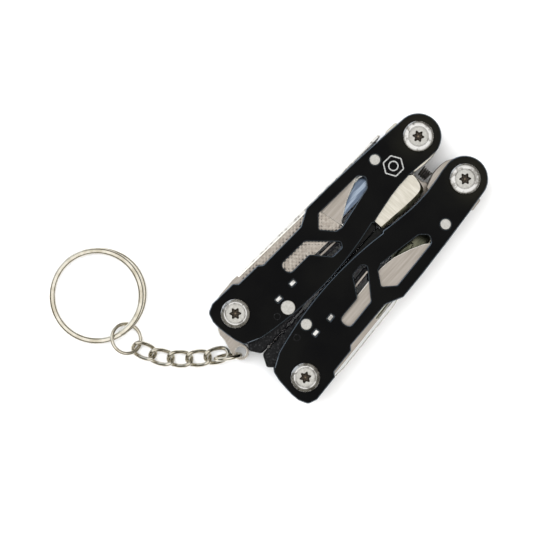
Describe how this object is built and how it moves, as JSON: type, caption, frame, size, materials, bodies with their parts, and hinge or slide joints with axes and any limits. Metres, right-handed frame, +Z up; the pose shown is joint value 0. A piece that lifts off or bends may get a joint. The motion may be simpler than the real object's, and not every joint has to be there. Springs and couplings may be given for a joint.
{
  "type": "multi tool",
  "caption": "Folding pocket multi tool with pliers between two black slotted handles, folded tools inside, and a key chain with a split ring.",
  "frame": {"origin": "centre of the bounding box, on the surface the folded tool lies on", "axes": "+X from the tool pivots to the plier pivots, +Y from handle b to handle a, +Z up out of the surface"},
  "size_m": [0.1052, 0.0729, 0.0128],
  "materials": {
    "black_steel": "satin black coating",
    "black_lever": "rough black coating",
    "bright_steel": "polished",
    "brushed_steel": "brushed, warm grey",
    "jaw_steel": "ground, cream grey",
    "spring_steel": "dark, as drawn",
    "nickel": "bright nickel plate"
  },
  "bodies": {
    "pliers": {"jaw_a": "jaw_steel", "jaw_rivet": "jaw_steel", "jaw_spring": "spring_steel"},
    "jaw_b": {"jaw_b": "jaw_steel"},
    "handle_a": {"back_plate_a": "black_steel", "front_plate_a": "black_steel", "tool_screw_a": "bright_steel", "tool_post_a": "bright_steel", "plier_screw_a": "bright_steel", "plier_post_a": "bright_steel", "spacer_rivet_a": "bright_steel", "lock_pin_a": "bright_steel", "lock_spring_a": "spring_steel", "washer_a1": "bright_steel", "washer_a2": "bright_steel", "washer_a3": "bright_steel"},
    "handle_b": {"back_plate_b": "black_steel", "front_plate_b": "black_steel", "tool_screw_b": "bright_steel", "tool_post_b": "bright_steel", "plier_screw_b": "bright_steel", "plier_post_b": "bright_steel", "spacer_rivet_b": "bright_steel", "lock_pin_b": "bright_steel", "lock_spring_b": "spring_steel", "washer_b1": "bright_steel", "washer_b2": "bright_steel"},
    "lock_lever_a": {"lock_lever_a": "black_lever"},
    "lock_lever_b": {"lock_lever_b": "black_lever"},
    "file": {"file": "brushed_steel"},
    "flat_screwdriver": {"flat_screwdriver": "brushed_steel"},
    "serrated_blade": {"serrated_blade": "brushed_steel"},
    "knife_blade": {"knife_blade": "brushed_steel"},
    "cross_screwdriver": {"cross_screwdriver": "brushed_steel"},
    "bottle_opener": {"bottle_opener": "brushed_steel"},
    "lanyard_lug": {"lanyard_lug": "brushed_steel"},
    "lug_ring": {"lug_ring": "nickel"},
    "chain_link_1": {"chain_link_1": "nickel"},
    "chain_link_2": {"chain_link_2": "nickel"},
    "chain_link_3": {"chain_link_3": "nickel"},
    "chain_link_4": {"chain_link_4": "nickel"},
    "chain_link_5": {"chain_link_5": "nickel"},
    "key_ring_link": {"key_ring_link": "nickel"},
    "split_ring": {"split_ring": "nickel"}
  },
  "joints": [
    {"name": "handle_a_fold", "type": "hinge", "parent": "pliers", "child": "handle_a", "pos_m": [0.04657, -0.00987, 0.0064], "axis": [0, 0, -1], "range_deg": [0, 165]},
    {"name": "handle_b_fold", "type": "hinge", "parent": "jaw_b", "child": "handle_b", "pos_m": [0.04657, -0.02613, 0.0064], "axis": [0, 0, 1], "range_deg": [0, 165]},
    {"name": "jaw_open", "type": "hinge", "parent": "pliers", "child": "jaw_b", "pos_m": [0.03067, -0.018, 0.0064], "axis": [0, 0, -1], "range_deg": [0, 25], "deforming": ["jaw_spring"]},
    {"name": "file_open", "type": "hinge", "parent": "handle_a", "child": "file", "pos_m": [-0.0189, -0.0058, 0.0064], "axis": [0, 0, 1], "range_deg": [0, 175]},
    {"name": "flat_screwdriver_open", "type": "hinge", "parent": "handle_a", "child": "flat_screwdriver", "pos_m": [-0.0189, -0.0058, 0.0064], "axis": [0, 0, 1], "range_deg": [0, 175]},
    {"name": "serrated_blade_open", "type": "hinge", "parent": "handle_a", "child": "serrated_blade", "pos_m": [-0.0189, -0.0058, 0.0064], "axis": [0, 0, 1], "range_deg": [0, 160]},
    {"name": "knife_blade_open", "type": "hinge", "parent": "handle_b", "child": "knife_blade", "pos_m": [-0.0189, -0.0302, 0.0064], "axis": [0, 0, -1], "range_deg": [0, 175]},
    {"name": "cross_screwdriver_open", "type": "hinge", "parent": "handle_b", "child": "cross_screwdriver", "pos_m": [-0.0189, -0.0302, 0.0064], "axis": [0, 0, -1], "range_deg": [0, 175]},
    {"name": "bottle_opener_open", "type": "hinge", "parent": "handle_b", "child": "bottle_opener", "pos_m": [-0.0189, -0.0302, 0.0064], "axis": [0, 0, -1], "range_deg": [0, 175]},
    {"name": "lock_lever_a_press", "type": "hinge", "parent": "handle_a", "child": "lock_lever_a", "pos_m": [-0.00864, -0.0148, 0.0064], "axis": [0, 0, -1], "range_deg": [0, 5], "stiffness_Nm_per_rad": 0.05},
    {"name": "lock_lever_b_press", "type": "hinge", "parent": "handle_b", "child": "lock_lever_b", "pos_m": [-0.00864, -0.0212, 0.0064], "axis": [0, 0, 1], "range_deg": [0, 5], "stiffness_Nm_per_rad": 0.05},
    {"name": "lanyard_lug_swing", "type": "hinge", "parent": "handle_a", "child": "lanyard_lug", "pos_m": [-0.0189, -0.0058, 0.0031], "axis": [0, 0, -1], "range_deg": [0, 15]},
    {"name": "lug_ring_swing", "type": "hinge", "parent": "lanyard_lug", "child": "lug_ring", "pos_m": [-0.02553, -0.0136, 0.0031], "axis": [0, 0, 1], "range_deg": [-5, 20]},
    {"name": "chain_link_1_swing", "type": "hinge", "parent": "lug_ring", "child": "chain_link_1", "pos_m": [-0.02803, -0.0108, 0.0014], "axis": [0, 0, 1], "range_deg": [-4, 18]},
    {"name": "chain_link_2_swing", "type": "hinge", "parent": "chain_link_1", "child": "chain_link_2", "pos_m": [-0.03243, -0.0081, 0.0014], "axis": [0, 0, 1], "range_deg": [-10, 18]},
    {"name": "chain_link_3_swing", "type": "hinge", "parent": "chain_link_2", "child": "chain_link_3", "pos_m": [-0.03598, -0.0049, 0.0014], "axis": [0, 0, 1], "range_deg": [-10, 18]},
    {"name": "chain_link_4_swing", "type": "hinge", "parent": "chain_link_3", "child": "chain_link_4", "pos_m": [-0.03908, -0.00115, 0.0014], "axis": [0, 0, 1], "range_deg": [-10, 18]},
    {"name": "chain_link_5_swing", "type": "hinge", "parent": "chain_link_4", "child": "chain_link_5", "pos_m": [-0.04148, 0.003, 0.0014], "axis": [0, 0, 1], "range_deg": [-10, 18]},
    {"name": "key_ring_link_swing", "type": "hinge", "parent": "chain_link_5", "child": "key_ring_link", "pos_m": [-0.04313, 0.0073, 0.0014], "axis": [0, 0, 1], "range_deg": [-10, 18]},
    {"name": "split_ring_swing", "type": "hinge", "parent": "key_ring_link", "child": "split_ring", "pos_m": [-0.04273, 0.0113, 0.0014], "axis": [0, 0, 1], "range_deg": [-8, 6]}
  ],
  "couplings": [
    {"joint": "handle_b_fold", "follows": "handle_a_fold", "ratio": 1},
    {"joint": "jaw_open", "follows": "handle_a_fold", "ratio": 0.15152}
  ]
}
